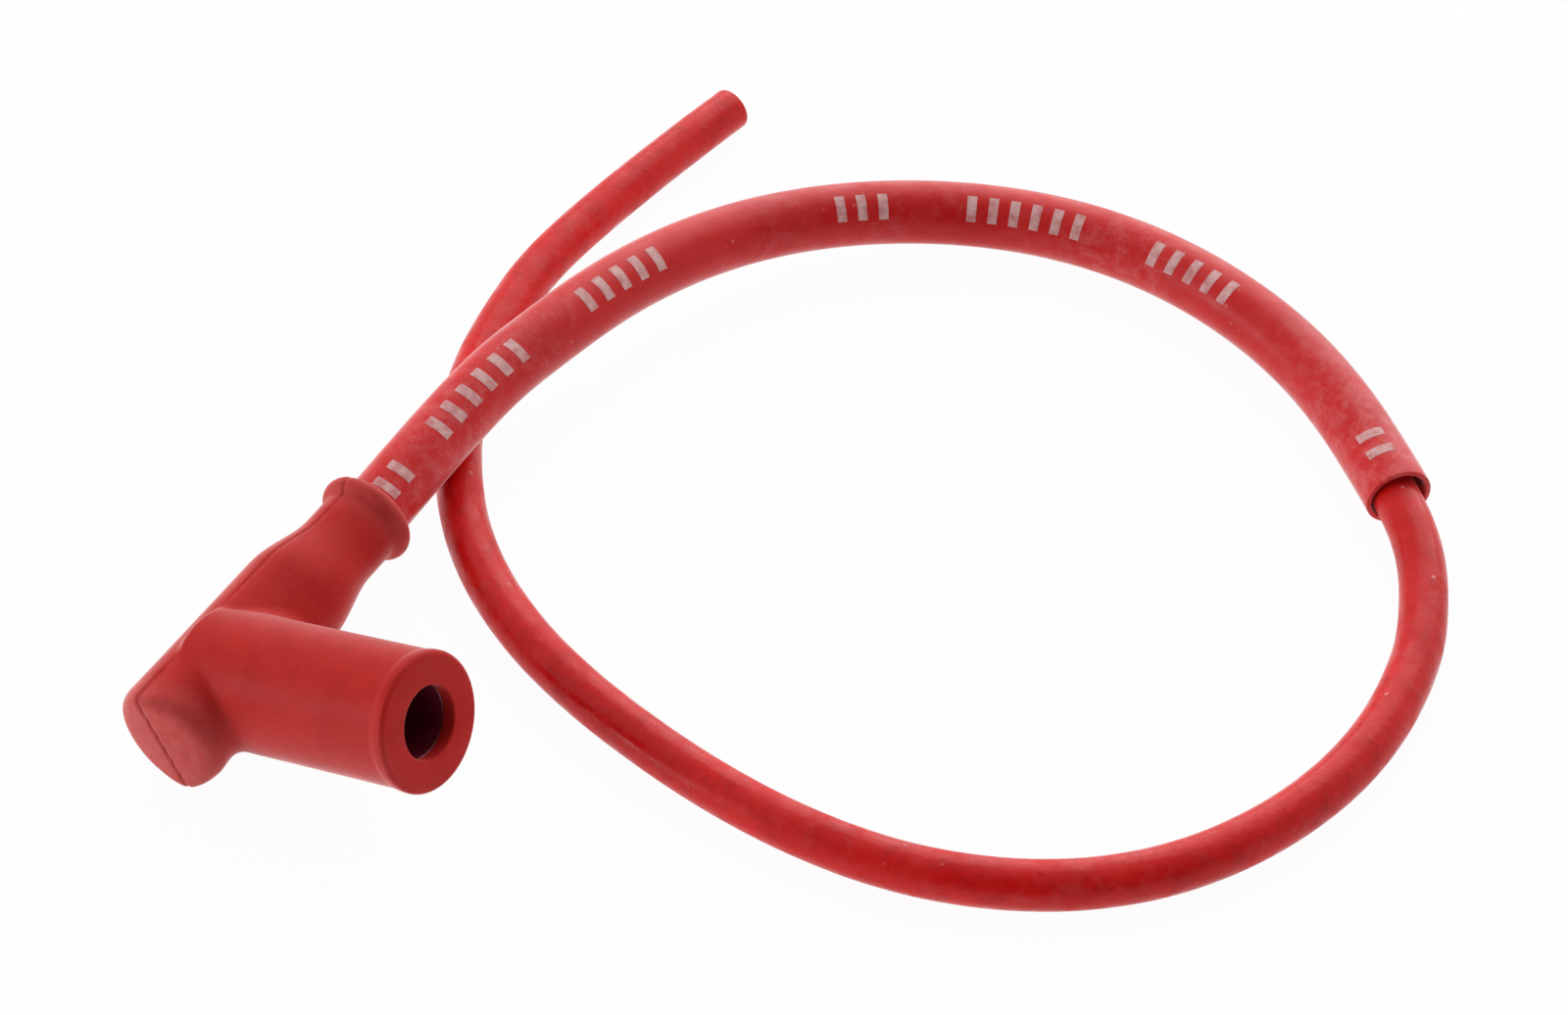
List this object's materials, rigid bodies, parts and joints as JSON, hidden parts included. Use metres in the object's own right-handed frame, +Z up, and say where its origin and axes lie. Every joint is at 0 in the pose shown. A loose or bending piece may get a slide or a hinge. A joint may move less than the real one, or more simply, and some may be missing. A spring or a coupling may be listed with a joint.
{
  "type": "spark plug cap",
  "caption": "Right-angle rubber ignition boot with a plug socket, a rolled cable collar, and a sleeved high-tension lead.",
  "frame": {"origin": "bottom centre of the cap's own box, without the lead, on the surface that the cap lies on", "axes": "+Z up from the surface, +Y along the leg towards the collar where the lead leaves, +X towards the side that the plug opening faces, which is tilted up by about 18 degrees"},
  "size_m": [0.1597, 0.166, 0.0299],
  "materials": {
    "cap_rubber": "matte moulded silicone rubber, red",
    "cable_rubber": "satin silicone rubber jacket, red",
    "sleeve_rubber": "dusty silicone rubber sleeve, pinkish red",
    "dark_resin": "dark moulded phenolic resin",
    "brass": "turned brass",
    "spring_steel": "drawn spring wire",
    "ceramic": "fired ceramic with metal end caps",
    "tinned_copper": "stranded tinned copper"
  },
  "bodies": {
    "root": {"cap_body": "cap_rubber", "insulator_tube": "dark_resin", "plug_socket": "brass", "retaining_clip": "spring_steel", "elbow_contact": "brass", "contact_spring": "spring_steel", "resistor": "ceramic", "cable_screw": "brass", "ignition_cable": "cable_rubber", "conductor_core": "tinned_copper", "protective_sleeve": "sleeve_rubber"}
  },
  "joints": []
}
